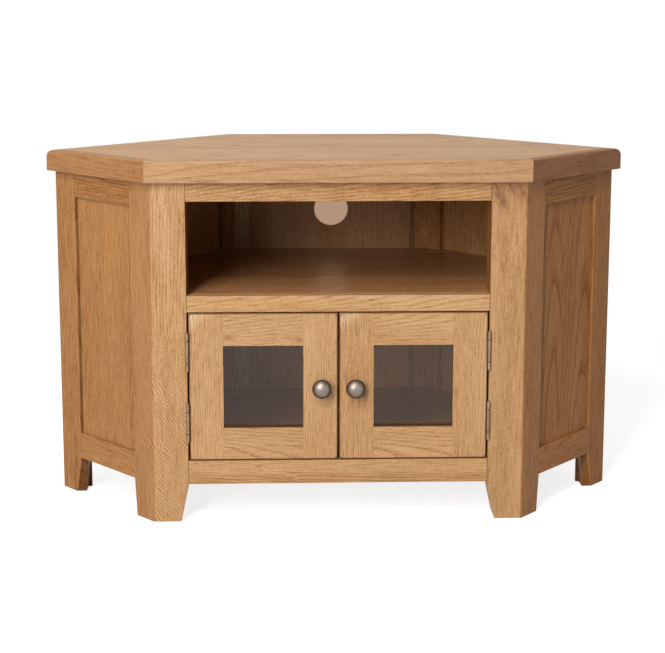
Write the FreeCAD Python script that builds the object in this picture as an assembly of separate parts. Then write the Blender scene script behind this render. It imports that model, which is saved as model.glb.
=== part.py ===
import FreeCAD, Part
import math
import os

V = FreeCAD.Vector

# Corner television cabinet in oak: an open bay over a cupboard with two glazed doors.
# The plan is a six-sided one. The sides stand square to the room walls behind them.
# All lengths are in millimetres and all angles in degrees.
# While it is drawn, the front face lies on y = 0 and the floor on z = 0.

# Overall plan and height
body_width = 980.0
front_width = 620.0
back_width = 412.0
body_height = 575.0
side_angle = 45.0
wall_angle = 45.0

# Top board
top_thickness = 37.0
top_front_overhang = 13.0
top_side_overhang = 13.0
top_wall_overhang = 6.0
top_edge_round = 5.0
top_wall_round_width = 22.0
top_wall_round_height = 14.0

# Heights of the front members
foot_height = 65.0
bottom_rail_height = 40.0
door_opening_height = 254.0
shelf_rail_height = 27.5
top_rail_height = 32.0
rail_thickness = 22.0
rail_edge_round = 1.0

# Front legs
front_leg_face = 59.5
front_leg_side_face = 49.0
front_leg_depth = 45.0
front_leg_side_depth = 30.0
front_foot_taper = 13.5
front_foot_side_taper = 5.0
leg_arris_round = 1.8

# Rear outer legs
rear_leg_side_face = 52.0
rear_leg_wall_face = 38.0
rear_leg_wall_depth = 34.0
rear_foot_front_taper = 9.5
rear_foot_inner_taper = 6.0
rear_foot_taper_width = 33.0

# Back corner legs
back_leg_back_face = 46.0
back_leg_wall_face = 36.0
back_leg_back_depth = 20.0
back_leg_wall_depth = 28.0

# Side frames
side_top_rail_height = 43.0
side_bottom_rail_height = 45.5
side_panel_recess = 5.0
side_panel_thickness = 6.0

# Back and wall frames
back_rail_thickness = 20.0
back_rail_height = 45.0
back_panel_inset = 10.0
back_panel_thickness = 6.0
panel_tongue = 6.0
cable_hole_diameter = 66.0

# Joinery
tenon_length = 18.0
tenon_thickness = 8.0
tenon_shoulder = 7.0

# Boards and cleats
board_thickness = 18.0
cleat_thickness = 18.0
floor_cleat_end_gap = 11.0

# Doors
door_thickness = 20.0
door_stile_width = 57.0
door_rail_height = 55.0
door_hinge_gap = 2.5
door_centre_gap = 3.0
door_top_gap = 2.0
door_bottom_gap = 2.0
door_edge_round = 2.0
door_tenon_length = 25.0
door_tenon_thickness = 6.0
door_tenon_shoulder = 14.0

# Glazing
glass_lip_depth = 8.0
glass_thickness = 4.0
rebate_width = 8.0
glass_clearance = 0.5

# Butt hinges
hinge_length = 63.5
hinge_leaf_reach = 16.5
hinge_leaf_thickness = 1.5
hinge_barrel_radius = 3.0
hinge_pin_radius = 1.5
hinge_pin_clearance = 0.05
hinge_pin_head_radius = 2.5
hinge_pin_head_height = 1.2
hinge_axis_forward = 2.0
hinge_knuckle_gap = 0.3
hinge_barrel_relief = 0.4
hinge_end_distance = 33.0
hinge_end_knuckle = 12.7
hinge_fixed_root = 2.1
hinge_door_root = -0.5

# Knobs, turned in one piece, with a machine screw from behind
knob_radius = 16.0
knob_projection = 26.0
knob_edge_distance = 26.5
knob_neck_radius = 5.0
knob_base_radius = 7.5
knob_base_thickness = 3.0
knob_rim_thickness = 2.5
knob_dome_height = 8.0
knob_flare_depth = 6.5
knob_screw_radius = 2.0
knob_screw_depth = 12.0
knob_screw_hole_clearance = 0.3
knob_screw_head_radius = 4.5
knob_screw_head_height = 2.4

# Screws
wood_screw_length = 30.0
wood_screw_radius = 2.0
wood_screw_head_radius = 4.0
wood_screw_head_height = 2.5
wood_screw_grip = 12.0
counterbore_clearance = 0.5
small_screw_length = 12.0
small_screw_radius = 1.5
small_screw_head_radius = 2.8
small_screw_head_height = 1.5
hinge_screw_spacing = 22.0
hinge_screw_setback = 10.5
front_screw_shares = (-0.7, 0.0, 0.7)
back_screw_shares = (-0.5, 0.5)
rail_screw_shares = (0.5,)
cleat_screw_shares = (0.2, 0.8)

# Magnetic catches
catch_flange_width = 42.0
catch_flange_thickness = 3.0
catch_case_width = 26.0
catch_depth = 14.0
catch_drop = 16.0
catch_nose_width = 22.0
catch_nose_height = 8.0
catch_nose_thickness = 0.7
catch_nose_gap = 0.3
catch_screw_spacing = 34.0
strike_width = 34.0
strike_height = 11.0
strike_thickness = 1.0
strike_edge_distance = 2.0

# How far a cut runs past the face that it opens, and how near a corner has to be to count
overrun = 5.0
touch = 0.5


def heading(angle):
    """A level direction, by its angle from +X."""
    return V(math.cos(math.radians(angle)), math.sin(math.radians(angle)), 0)


class PlanFace:
    """An upright face seen in plan: where it starts, the way along it and the way inwards."""

    def __init__(self, start, along, inward):
        self.start = start
        self.along = along
        self.inward = inward

    def at(self, along, depth, height=0.0):
        return self.start + self.along * along + self.inward * depth + V(0, 0, height)

    def moved_out(self, distance):
        """The same face, a distance further out."""
        return PlanFace(self.at(0, -distance), self.along, self.inward)


# Heights worked out from the values above
bottom_rail_top = foot_height + bottom_rail_height
door_opening_top = bottom_rail_top + door_opening_height
shelf_top = door_opening_top + shelf_rail_height
bay_top = body_height - top_rail_height
overall_height = body_height + top_thickness
side_panel_low = foot_height + side_bottom_rail_height
side_panel_high = body_height - side_top_rail_height
back_panel_low = foot_height + back_rail_height
back_panel_high = body_height - back_rail_height
cable_hole_height = (shelf_top + bay_top) / 2

# Plan of the body, right-hand half
right_angle = 90.0
half_turn = 180.0
front_half = front_width / 2
back_half = back_width / 2
opening_half = front_half - front_leg_face
side_length = (body_width - front_width) / 2 / math.cos(math.radians(side_angle))
FRONT = PlanFace(V(0, 0, 0), heading(0), heading(right_angle))
SIDE = PlanFace(V(front_half, 0, 0), heading(side_angle), heading(side_angle + right_angle))
outer_corner = SIDE.at(side_length, 0)
wall_length = (outer_corner.x - back_half) / math.cos(math.radians(wall_angle))
WALL = PlanFace(outer_corner, heading(half_turn - wall_angle), heading(-right_angle - wall_angle))
body_depth = WALL.at(wall_length, 0).y
BACK = PlanFace(V(0, body_depth, 0), heading(0), heading(-right_angle))

# The finished part stands with the middle of its box over the origin
front_most = -max(top_front_overhang, knob_projection)
back_most = body_depth + top_wall_overhang
to_origin = V(0, -(front_most + back_most) / 2, 0)


def prism(corners, low, high):
    """An upright solid over a closed outline in plan."""
    raised = [V(p.x, p.y, low) for p in corners]
    return Part.Face(Part.makePolygon(raised + raised[:1])).extrude(V(0, 0, high - low))


def bar(face, start, end, near, far, low, high):
    """A straight bar in a face's own directions: along it, inwards from it and up."""
    corners = [face.at(start, near), face.at(end, near), face.at(end, far), face.at(start, far)]
    return prism(corners, low, high)


def cylinder(radius, base, direction, length):
    return Part.makeCylinder(radius, length, base, direction)


def mirrored(shape):
    """The same piece on the other side of the cabinet."""
    return shape.mirror(V(0, 0, 0), V(1, 0, 0))


def both(shape):
    return {"right": shape, "left": mirrored(shape)}


def without(shape, cutters):
    for cutter in cutters:
        shape = shape.cut(cutter)
    return shape


def group(shapes):
    """Several separate solids that are kept under one name."""
    return Part.makeCompound([solid for shape in shapes for solid in shape.Solids])


def meeting_point(face_a, depth_a, face_b, depth_b):
    """Where two faces cross in plan, each moved inwards by its own depth."""
    a, b = face_a.at(0, depth_a), face_b.at(0, depth_b)
    da, db = face_a.along, face_b.along
    across = da.x * db.y - da.y * db.x
    reach = ((b.x - a.x) * db.y - (b.y - a.y) * db.x) / across
    return a + da * reach


def plan_outline(front, side, wall, back):
    """The body's six-sided plan with each face moved inwards by its own depth."""
    right = [
        meeting_point(FRONT, front, SIDE, side),
        meeting_point(SIDE, side, WALL, wall),
        meeting_point(WALL, wall, BACK, back),
    ]
    return right + [V(-p.x, p.y, 0) for p in reversed(right)]


def rounded_edges(shape, radius, wanted):
    """Rounds the straight edges whose two ends both pass the test."""
    edges = [e for e in shape.Edges if all(wanted(v.Point) for v in e.Vertexes)]
    return shape.makeFillet(radius, edges)


def rounded_arris(post, corner):
    """Rounds a post's upright edge at a corner of its plan."""
    return rounded_edges(
        post, leg_arris_round, lambda p: math.hypot(p.x - corner.x, p.y - corner.y) < touch
    )


# Tenons of the body and of the doors: length, thickness and shoulder
body_tenon = (tenon_length, tenon_thickness, tenon_shoulder)
door_tenon = (door_tenon_length, door_tenon_thickness, door_tenon_shoulder)


def tenons(place, size=body_tenon):
    """The two tenons of a rail as one bar, which also cuts the mortises."""
    face, start, end, near, far, low, high = place
    length, thickness, shoulder = size
    middle, half = (near + far) / 2, thickness / 2
    reach = (start - length, end + length)
    return bar(face, *reach, middle - half, middle + half, low + shoulder, high - shoulder)


def rail(place, size=body_tenon):
    """A rail between two posts, with a tenon on each end."""
    return bar(*place).fuse(tenons(place, size))


def foot_wedge(face, edge, foot, outside, near, far):
    """What a foot's taper takes off between the rails and the floor, on one of its faces."""
    corners = [
        face.at(edge, near, foot_height),
        face.at(foot, near),
        face.at(outside, near),
        face.at(outside, near, foot_height),
    ]
    profile = Part.Face(Part.makePolygon(corners + corners[:1]))
    return profile.extrude(face.inward * (far - near))


# The rails: where each one lies, as start, end, near, far, low and high in its face
front_rail_places = {
    "front_top_rail": (bay_top, body_height),
    "shelf_rail": (door_opening_top, shelf_top),
    "bottom_rail": (foot_height, bottom_rail_top),
}
front_rails = {
    name: (FRONT, -opening_half, opening_half, 0, rail_thickness, low, high)
    for name, (low, high) in front_rail_places.items()
}
side_ends = (front_leg_side_face, side_length - rear_leg_side_face)
side_rails = {
    "side_top_rail": (SIDE, *side_ends, 0, rail_thickness, side_panel_high, body_height),
    "side_bottom_rail": (SIDE, *side_ends, 0, rail_thickness, foot_height, side_panel_low),
}
wall_ends = (rear_leg_wall_face, wall_length - back_leg_wall_face)
wall_rails = {
    "wall_top_rail": (WALL, *wall_ends, 0, back_rail_thickness, back_panel_high, body_height),
    "wall_bottom_rail": (WALL, *wall_ends, 0, back_rail_thickness, foot_height, back_panel_low),
}
back_end = back_half - back_leg_back_face
back_rails = {
    "back_top_rail": (
        BACK, -back_end, back_end, 0, back_rail_thickness, back_panel_high, body_height
    ),
    "back_bottom_rail": (
        BACK, -back_end, back_end, 0, back_rail_thickness, foot_height, back_panel_low
    ),
}


def panel_blank(face, ends, inset, thickness, low, high):
    """A panel with its tongues, which run into the posts and rails round it."""
    return bar(
        face,
        ends[0] - panel_tongue,
        ends[1] + panel_tongue,
        inset,
        inset + thickness,
        low - panel_tongue,
        high + panel_tongue,
    )


side_panel_blank = panel_blank(
    SIDE, side_ends, side_panel_recess, side_panel_thickness, side_panel_low, side_panel_high
)
wall_panel_blank = panel_blank(
    WALL, wall_ends, back_panel_inset, back_panel_thickness, back_panel_low, back_panel_high
)
back_panel_blank = panel_blank(
    BACK,
    (-back_end, back_end),
    back_panel_inset,
    back_panel_thickness,
    back_panel_low,
    back_panel_high,
)


def front_leg():
    """The right front leg: one face on the front, one on the side, and a foot tapered on both."""
    corners = [
        FRONT.at(front_half, 0),
        SIDE.at(front_leg_side_face, 0),
        SIDE.at(front_leg_side_face, front_leg_side_depth),
        FRONT.at(opening_half, front_leg_depth),
        FRONT.at(opening_half, 0),
    ]
    leg = rounded_arris(prism(corners, 0, body_height), SIDE.at(0, 0))
    deep = front_leg_depth + front_leg_side_face
    inner = foot_wedge(
        FRONT,
        opening_half,
        opening_half + front_foot_taper,
        opening_half - overrun,
        -overrun,
        deep,
    )
    rear = foot_wedge(
        SIDE,
        front_leg_side_face,
        front_leg_side_face - front_foot_side_taper,
        front_leg_side_face + overrun,
        -overrun,
        front_leg_side_depth + overrun,
    )
    cutters = [inner, rear, side_panel_blank]
    cutters += [tenons(place) for place in (*front_rails.values(), *side_rails.values())]
    return without(leg, cutters)


def rear_leg():
    """The right rear leg: a side face, a wall face, and a foot tapered on its two inner faces."""
    side_edge = SIDE.at(side_length - rear_leg_side_face, 0)
    inner_edge = WALL.at(rear_leg_wall_face, rear_leg_wall_depth)
    front_inner = V(inner_edge.x, side_edge.y, 0)
    corners = [
        outer_corner,
        side_edge,
        front_inner,
        inner_edge,
        WALL.at(rear_leg_wall_face, 0),
    ]
    leg = rounded_arris(prism(corners, 0, body_height), outer_corner)
    facing_front = PlanFace(front_inner, heading(right_angle), heading(0))
    front = foot_wedge(
        facing_front, 0, rear_foot_front_taper, -overrun, -overrun, rear_leg_side_face
    )
    facing_in = PlanFace(front_inner, heading(0), heading(right_angle))
    inner = foot_wedge(
        facing_in, 0, rear_foot_inner_taper, -overrun, -overrun, rear_foot_taper_width
    )
    cutters = [front, inner, side_panel_blank, wall_panel_blank]
    cutters += [tenons(place) for place in (*side_rails.values(), *wall_rails.values())]
    return without(leg, cutters)


def back_leg():
    """The right back corner leg: one face on the back, one on the wall side."""
    wall_start = wall_length - back_leg_wall_face
    corners = [
        BACK.at(back_half, 0),
        BACK.at(back_end, 0),
        BACK.at(back_end, back_leg_back_depth),
        meeting_point(BACK, back_leg_back_depth, WALL, back_leg_wall_depth),
        WALL.at(wall_start, back_leg_wall_depth),
        WALL.at(wall_start, 0),
    ]
    leg = prism(corners, 0, body_height)
    cutters = [wall_panel_blank, back_panel_blank]
    cutters += [tenons(place) for place in (*wall_rails.values(), *back_rails.values())]
    return without(leg, cutters)


def softened_rail(place):
    """A front rail, with its long front edges rounded."""
    board = rounded_edges(bar(*place), rail_edge_round, lambda p: p.y < rail_thickness / 2)
    return board.fuse(tenons(place))


def rounded_side(face, width, height):
    """All that a rounded upper edge keeps of a thick board, along one of its faces.

    The round is a quarter of an ellipse: upright where it leaves the face, level on top.
    """
    reach = body_width
    low, high = body_height - overrun, overall_height
    start, end = face.at(-reach, 0, high - height), face.at(-reach, width, high)
    quarter = Part.BezierCurve()
    quarter.setPoles([start, face.at(-reach, 0, high), end])
    quarter.setWeight(2, math.cos(math.radians(right_angle / 2)))
    corners = [
        end,
        face.at(-reach, reach, high),
        face.at(-reach, reach, low),
        face.at(-reach, 0, low),
        start,
    ]
    outline = Part.Wire([quarter.toShape()] + Part.makePolygon(corners).Edges)
    return Part.Face(outline).extrude(face.along * (reach + reach))


def top_board():
    """The six-sided top, eased along the front and sides, well rounded towards the walls."""
    overhangs = (top_front_overhang, top_side_overhang, top_wall_overhang, top_wall_overhang)
    board = prism(plan_outline(*(-o for o in overhangs)), body_height, overall_height)
    eased = (top_edge_round, top_edge_round)
    rounded = (top_wall_round_width, top_wall_round_height)
    front = rounded_side(FRONT.moved_out(top_front_overhang), *eased)
    side = rounded_side(SIDE.moved_out(top_side_overhang), *eased)
    wall = rounded_side(WALL.moved_out(top_wall_overhang), *rounded)
    back = rounded_side(BACK.moved_out(top_wall_overhang), *rounded)
    for keep in (front, side, mirrored(side), wall, mirrored(wall), back):
        board = board.common(keep)
    return board


def screw(head, direction, sizes):
    """A countersunk screw: the middle of its head's outer face, and the way that it points."""
    length, radius, head_radius, head_height = sizes
    cone = Part.makeCone(head_radius, radius, head_height, head, direction)
    return cone.fuse(cylinder(radius, head, direction, length))


wood_screw = (wood_screw_length, wood_screw_radius, wood_screw_head_radius, wood_screw_head_height)
small_screw = (
    small_screw_length,
    small_screw_radius,
    small_screw_head_radius,
    small_screw_head_height,
)
UP = V(0, 0, 1)


def screws_from_below(place, shares, joint):
    """Wood screws up through a rail or cleat, each with the bore that its head comes in by."""
    face, start, end, near, far, low, high = place
    head_height = joint + wood_screw_grip - wood_screw_length
    screws, bores = [], []
    for share in shares:
        foot = face.at(start + (end - start) * share, (near + far) / 2, head_height)
        screws.append(screw(foot, UP, wood_screw))
        if head_height > low:
            bore_radius = wood_screw_head_radius + counterbore_clearance
            bores.append(cylinder(bore_radius, foot, -UP, head_height - low))
    return screws, bores


# Cleats, as places in the side face, under the shelf and under the floor board
shelf_low = shelf_top - board_thickness
floor_low = bottom_rail_top - board_thickness
panel_inner = side_panel_recess + side_panel_thickness
shelf_cleat_place = (
    SIDE, *side_ends, panel_inner, panel_inner + cleat_thickness,
    shelf_low - cleat_thickness, shelf_low,
)
floor_cleat_place = (
    SIDE, side_ends[0] + floor_cleat_end_gap, side_ends[1] - floor_cleat_end_gap,
    rail_thickness, rail_thickness + cleat_thickness, floor_low - cleat_thickness, floor_low,
)


# The doors, drawn on the right: the free edge is near the middle, the hinges by the leg
door_low = bottom_rail_top + door_bottom_gap
door_high = door_opening_top - door_top_gap
free_edge = door_centre_gap / 2
hinge_edge = opening_half - door_hinge_gap
pane_start = free_edge + door_stile_width
pane_end = hinge_edge - door_stile_width
pane_low = door_low + door_rail_height
pane_high = door_high - door_rail_height
door_rails = {
    "bottom_rail": (FRONT, pane_start, pane_end, 0, door_thickness, door_low, pane_low),
    "top_rail": (FRONT, pane_start, pane_end, 0, door_thickness, pane_high, door_high),
}
rebate = bar(
    FRONT,
    pane_start - rebate_width,
    pane_end + rebate_width,
    glass_lip_depth,
    door_thickness + overrun,
    pane_low - rebate_width,
    pane_high + rebate_width,
)
hinge_heights = (
    door_low + hinge_end_distance,
    door_high - hinge_end_distance - hinge_length,
)
knob_x = free_edge + knob_edge_distance
knob_height = (door_low + door_high) / 2
stile_middle = free_edge + door_stile_width / 2
catch_face = door_thickness + strike_thickness + catch_nose_gap
catch_near = max(rail_thickness, catch_face + catch_nose_thickness)


def hinge_cylinder(radius, low, height):
    """An upright cylinder on the right door's hinge axis."""
    return cylinder(radius, FRONT.at(opening_half, -hinge_axis_forward, low), UP, height)


def hinge_leaf(low, start, end, root, own):
    """One leaf: a plate let into the wood, notched round the other leaf's knuckles."""
    breaks = (0, hinge_end_knuckle, hinge_length - hinge_end_knuckle, hinge_length)
    leaf = bar(
        FRONT, start, end, root - hinge_axis_forward, hinge_leaf_reach, low, low + hinge_length
    )
    for number, (bottom, top) in enumerate(zip(breaks, breaks[1:])):
        base, knuckle = low + bottom, top - bottom
        if number % 2 == own:
            ring = hinge_cylinder(
                hinge_barrel_radius, base + hinge_knuckle_gap / 2, knuckle - hinge_knuckle_gap
            )
            leaf = leaf.fuse(ring)
        else:
            notch = hinge_cylinder(hinge_barrel_radius + hinge_barrel_relief, base, knuckle)
            leaf = leaf.cut(notch)
    bore = hinge_pin_radius + hinge_pin_clearance
    return leaf.cut(hinge_cylinder(bore, low - overrun, hinge_length + overrun + overrun))


def hinge_pin(low):
    """A pin through all the knuckles, with a flat head at each end."""
    pin = hinge_cylinder(hinge_pin_radius, low, hinge_length)
    for base in (low - hinge_pin_head_height, low + hinge_length):
        pin = pin.fuse(hinge_cylinder(hinge_pin_head_radius, base, hinge_pin_head_height))
    return pin


def hinge_relief():
    """The room round both barrels, cut from the leg's and the stile's front edges."""
    room = hinge_barrel_radius + hinge_barrel_relief
    spare = hinge_pin_head_height + hinge_barrel_relief
    return [hinge_cylinder(room, low - spare, hinge_length + spare + spare) for low in hinge_heights]


def hinge_screws(x, direction):
    """Three small screws through each leaf on one side of the gap."""
    offsets = (-hinge_screw_spacing, 0, hinge_screw_spacing)
    return [
        screw(V(x, hinge_screw_setback, low + hinge_length / 2 + offset), direction, small_screw)
        for low in hinge_heights
        for offset in offsets
    ]


def beads():
    """Four square beads that hold the pane in its rebate from behind."""
    left, right = pane_start - rebate_width, pane_end + rebate_width
    low, high = pane_low - rebate_width, pane_high + rebate_width
    depth = (glass_lip_depth + glass_thickness, door_thickness)
    return [
        bar(FRONT, left, right, *depth, low, pane_low),
        bar(FRONT, left, right, *depth, pane_high, high),
        bar(FRONT, left, pane_start, *depth, pane_low, pane_high),
        bar(FRONT, pane_end, right, *depth, pane_low, pane_high),
    ]


def knob():
    """A knob turned about the line through its stile: foot, neck, flared back, rim and dome."""
    def point(radius, forward):
        return V(radius, -forward, 0)

    rim_front = knob_projection - knob_dome_height
    rim_back = rim_front - knob_rim_thickness
    flare_foot = rim_back - knob_flare_depth
    dome_radius = (knob_radius**2 + knob_dome_height**2) / (2 * knob_dome_height)
    half_angle = math.asin(knob_radius / dome_radius) / 2
    dome_middle = point(
        dome_radius * math.sin(half_angle),
        knob_projection - dome_radius * (1 - math.cos(half_angle)),
    )
    flare = Part.BezierCurve()
    flare.setPoles(
        [
            point(knob_neck_radius, flare_foot),
            point(knob_neck_radius, rim_back),
            point(knob_radius, rim_back),
        ]
    )
    dome = Part.Arc(point(knob_radius, rim_front), dome_middle, point(0, knob_projection))
    foot = [
        point(0, knob_projection),
        point(0, 0),
        point(knob_base_radius, 0),
        point(knob_base_radius, knob_base_thickness),
        point(knob_neck_radius, knob_base_thickness),
        point(knob_neck_radius, flare_foot),
    ]
    rim = Part.makeLine(point(knob_radius, rim_back), point(knob_radius, rim_front))
    outline = Part.Wire(Part.makePolygon(foot).Edges + [flare.toShape(), rim, dome.toShape()])
    turned = Part.Face(outline).revolve(V(0, 0, 0), V(0, 1, 0), half_turn + half_turn)
    return turned.translated(V(knob_x, 0, knob_height))


def knob_screw():
    """The machine screw that holds the knob, with its head on the door's back."""
    tip = V(knob_x, -knob_screw_depth, knob_height)
    back = V(knob_x, door_thickness, knob_height)
    shank = cylinder(knob_screw_radius, tip, FRONT.inward, knob_screw_depth + door_thickness)
    head = cylinder(knob_screw_head_radius, back, FRONT.inward, knob_screw_head_height)
    return shank.fuse(head)


def strike():
    """The strike plate near the top of the door's back, on the free stile."""
    half = strike_width / 2
    high = door_high - strike_edge_distance
    return bar(
        FRONT,
        stile_middle - half,
        stile_middle + half,
        door_thickness,
        door_thickness + strike_thickness,
        high - strike_height,
        high,
    )


def catch():
    """The catch: a case with two ears under the shelf, and a magnet face towards the strike."""
    def block(width, start, end, low, high):
        return bar(FRONT, stile_middle - width / 2, stile_middle + width / 2, start, end, low, high)

    far = catch_near + catch_depth
    ear_low = shelf_low - catch_flange_thickness
    nose_low = door_high - strike_edge_distance - (strike_height + catch_nose_height) / 2
    nose_high = nose_low + catch_nose_height
    case = block(catch_case_width, catch_near, far, door_opening_top - catch_drop, shelf_low)
    ears = block(catch_flange_width, catch_near, far, ear_low, shelf_low)
    nose = block(catch_nose_width, catch_face, catch_near, nose_low, nose_high)
    return case.fuse(ears).fuse(nose)


def catch_screws():
    """One small screw up through each ear into the shelf."""
    height = shelf_low - catch_flange_thickness
    middle = catch_near + catch_depth / 2
    half = catch_screw_spacing / 2
    return [
        screw(V(stile_middle + side, middle, height), UP, small_screw) for side in (-half, half)
    ]


def door_block():
    """The room that the door's frame fills, with its four long front edges rounded."""
    block = bar(FRONT, free_edge, hinge_edge, 0, door_thickness, door_low, door_high)
    return rounded_edges(block, door_edge_round, lambda p: p.y < touch)


def door_pieces():
    """Every piece of the right door, by name, and the fixed hinge pieces that it turns on."""
    relief = hinge_relief()
    door_leaves = [
        hinge_leaf(low, hinge_edge - hinge_leaf_thickness, hinge_edge, hinge_door_root, 1)
        for low in hinge_heights
    ]
    fixed_leaves = [
        hinge_leaf(low, opening_half, opening_half + hinge_leaf_thickness, hinge_fixed_root, 0)
        for low in hinge_heights
    ]
    door_screws = hinge_screws(hinge_edge, -FRONT.along)
    plate = strike()
    strike_screw = screw(
        V(stile_middle, door_thickness + strike_thickness, plate.CenterOfMass.z),
        -FRONT.inward,
        small_screw,
    )
    bolt = knob_screw()
    bolt_hole = cylinder(
        knob_screw_radius + knob_screw_hole_clearance,
        V(knob_x, -overrun, knob_height),
        FRONT.inward,
        door_thickness + overrun + overrun,
    )
    mortises = [tenons(place, door_tenon) for place in door_rails.values()]
    block = door_block()
    stile_room = (0, door_thickness, door_low, door_high)
    hinge_stile = bar(FRONT, pane_end, hinge_edge, *stile_room).common(block)
    free_stile = bar(FRONT, free_edge, pane_start, *stile_room).common(block)
    pane = bar(
        FRONT,
        pane_start - rebate_width + glass_clearance,
        pane_end + rebate_width - glass_clearance,
        glass_lip_depth,
        glass_lip_depth + glass_thickness,
        pane_low - rebate_width + glass_clearance,
        pane_high + rebate_width - glass_clearance,
    )
    pieces = {
        "hinge_stile": without(
            hinge_stile, [rebate, *mortises, *relief, *door_leaves, *door_screws]
        ),
        "knob_stile": without(free_stile, [rebate, *mortises, bolt_hole, strike_screw]),
        "glass": pane,
        "glazing_beads": group(beads()),
        "knob": knob().cut(bolt),
        "knob_screw": bolt,
        "hinge_leaves": group([without(leaf, door_screws) for leaf in door_leaves]),
        "strike_plate": plate.cut(strike_screw),
        "screws": group([*door_screws, strike_screw]),
    }
    for name, place in door_rails.items():
        pieces[name] = rail(place, door_tenon).common(block).cut(rebate)
    fixed_screws = hinge_screws(opening_half, FRONT.along)
    fixed = {
        "hinge_leaves": group([without(leaf, fixed_screws) for leaf in fixed_leaves]),
        "hinge_pins": group([hinge_pin(low) for low in hinge_heights]),
        "screws": fixed_screws,
        "leg_cuts": [*relief, *fixed_leaves, *fixed_screws],
    }
    return pieces, fixed


def write(name, shape):
    """Moves a piece to the part's origin and saves it under its name."""
    placed = shape.translated(to_origin)
    state = "ok" if placed.isValid() else "NOT VALID"
    print(f"{name:28s} {state} solids {len(placed.Solids)} volume {placed.Volume:.0f}")
    placed.exportStep(f"parts/{name}.step")


def build():
    """Makes every piece of the cabinet and saves each under its own name."""
    os.makedirs("parts", exist_ok=True)
    door, fixed = door_pieces()
    catch_fixings = catch_screws()

    front_top = front_rails["front_top_rail"]
    back_top = back_rails["back_top_rail"]
    centre_screws, centre_bores = [], []
    for place, shares in ((front_top, front_screw_shares), (back_top, back_screw_shares)):
        half_place = (place[0], 0, *place[2:])
        screws, bores = screws_from_below(half_place, shares, body_height)
        centre_screws += screws
        centre_bores += bores
    right_screws, right_bores = [], []
    for place, shares, joint in (
        (side_rails["side_top_rail"], rail_screw_shares, body_height),
        (wall_rails["wall_top_rail"], rail_screw_shares, body_height),
        (shelf_cleat_place, cleat_screw_shares, shelf_low),
        (floor_cleat_place, cleat_screw_shares, floor_low),
    ):
        screws, bores = screws_from_below(place, shares, joint)
        right_screws += screws
        right_bores += bores
    all_screws = centre_screws + right_screws + [mirrored(s) for s in right_screws]
    all_catch_screws = catch_fixings + [mirrored(s) for s in catch_fixings]

    legs = {
        "leg_front": without(front_leg(), fixed["leg_cuts"]),
        "leg_rear": rear_leg(),
        "leg_back": back_leg(),
    }
    right = dict(legs)
    for name, place in (*side_rails.items(), *wall_rails.items()):
        right[name] = without(rail(place), [*right_screws, *right_bores])
    for name in side_rails:
        right[name] = without(right[name], [legs["leg_rear"], side_panel_blank])
    for name in wall_rails:
        right[name] = right[name].cut(wall_panel_blank)
    right["side_panel"] = side_panel_blank
    right["wall_panel"] = wall_panel_blank
    right["shelf_cleat"] = without(bar(*shelf_cleat_place), [legs["leg_rear"], *right_screws])
    right["floor_cleat"] = without(bar(*floor_cleat_place), right_screws)
    for name, shape in right.items():
        for side, placed in both(shape).items():
            write(f"{name}_{side}", placed)

    for name, place in front_rails.items():
        write(name, without(softened_rail(place), [*centre_screws, *centre_bores]))
    for name, place in back_rails.items():
        cutters = [*centre_screws, *centre_bores, back_panel_blank]
        write(name, without(rail(place), cutters))
    hole = cylinder(
        cable_hole_diameter / 2,
        BACK.at(0, -overrun, cable_hole_height),
        BACK.inward,
        back_panel_inset + back_panel_thickness + overrun + overrun,
    )
    write("back_panel", back_panel_blank.cut(hole))
    write("top_panel", without(top_board(), all_screws))

    all_legs = [leg for shape in legs.values() for leg in both(shape).values()]
    back_inner = back_panel_inset + back_panel_thickness
    shelf_plan = plan_outline(rail_thickness, panel_inner, back_inner, back_inner)
    floor_plan = plan_outline(
        rail_thickness, rail_thickness, back_rail_thickness, back_rail_thickness
    )
    shelf = prism(shelf_plan, shelf_low, shelf_top)
    floor = prism(floor_plan, floor_low, bottom_rail_top)
    write("shelf_board", without(shelf, [*all_legs, *all_screws, *all_catch_screws]))
    write("floor_board", without(floor, [*all_legs, *all_screws]))
    write("wood_screws", group(all_screws))

    write("door_catches", group(both(without(catch(), catch_fixings)).values()))
    small = [*fixed["screws"], *catch_fixings]
    write("small_screws", group([*small, *(mirrored(s) for s in small)]))
    for name in ("hinge_leaves", "hinge_pins"):
        for side, placed in both(fixed[name]).items():
            write(f"{name}_{side}", placed)
    for name, shape in door.items():
        for side, placed in both(shape).items():
            write(f"door_{side}_{name}", placed)


build()
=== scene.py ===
import math

import bpy
import numpy as np
from mathutils import Matrix, Vector


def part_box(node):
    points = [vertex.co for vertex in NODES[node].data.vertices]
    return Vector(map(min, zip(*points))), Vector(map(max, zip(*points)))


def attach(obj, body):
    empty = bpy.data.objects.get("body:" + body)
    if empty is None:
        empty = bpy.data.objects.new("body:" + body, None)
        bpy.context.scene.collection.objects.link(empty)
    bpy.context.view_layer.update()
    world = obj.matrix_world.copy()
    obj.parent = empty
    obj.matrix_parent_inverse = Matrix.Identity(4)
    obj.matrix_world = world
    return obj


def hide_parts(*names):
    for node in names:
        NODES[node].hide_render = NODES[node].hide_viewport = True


bl_info = {
    "name": "Corner Television Cabinet",
    "version": (1, 0, 0),
    "blender": (4, 5, 0),
    "location": "3D View > Sidebar > Cabinet",
    "description": "Oak corner cabinet: lipped top, turned knobs, butt hinges, glazed doors",
    "category": "Object",
}

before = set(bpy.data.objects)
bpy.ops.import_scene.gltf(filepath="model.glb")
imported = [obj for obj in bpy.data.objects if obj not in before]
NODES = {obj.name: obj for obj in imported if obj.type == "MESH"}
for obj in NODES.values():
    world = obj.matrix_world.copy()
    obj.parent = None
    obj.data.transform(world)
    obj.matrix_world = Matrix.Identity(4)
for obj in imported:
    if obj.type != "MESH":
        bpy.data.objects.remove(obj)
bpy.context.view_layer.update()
MM = 0.001
WHITE = (1.0, 1.0, 1.0, 1.0)

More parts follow.
